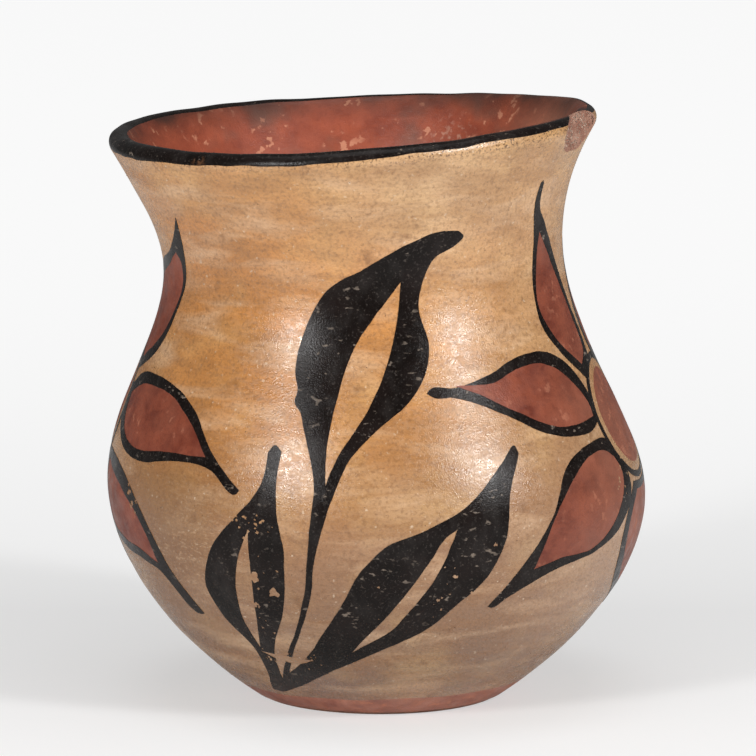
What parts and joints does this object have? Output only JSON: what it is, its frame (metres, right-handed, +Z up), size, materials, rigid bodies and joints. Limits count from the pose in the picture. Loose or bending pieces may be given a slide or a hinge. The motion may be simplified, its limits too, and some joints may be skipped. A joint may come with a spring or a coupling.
{
  "type": "pueblo pottery jar",
  "caption": "Coil-built earthenware jar with a round belly, waisted neck and flared, black-lipped mouth, standing on a small flat foot.",
  "frame": {"origin": "centre of the flat foot, on the table", "axes": "+Z up through the mouth, -Y towards the viewer of the picture, +X to the viewer's right"},
  "size_m": [0.1802, 0.18, 0.1986],
  "materials": {
    "clay": "matte",
    "cream_slip": "satin",
    "red_slip": "satin",
    "black_paint": "satin"
  },
  "bodies": {
    "root": {"base_pad": "clay", "coil_01": "clay", "coil_02": "clay", "coil_03": "clay", "coil_04": "clay", "coil_05": "clay", "coil_06": "clay", "coil_07": "clay", "coil_08": "clay", "coil_09": "clay", "coil_10": "clay", "coil_11": "clay", "rim_coil": "clay", "cream_slip": "cream_slip", "foot_slip": "red_slip", "neck_slip": "red_slip", "rim_paint": "black_paint"}
  },
  "joints": []
}
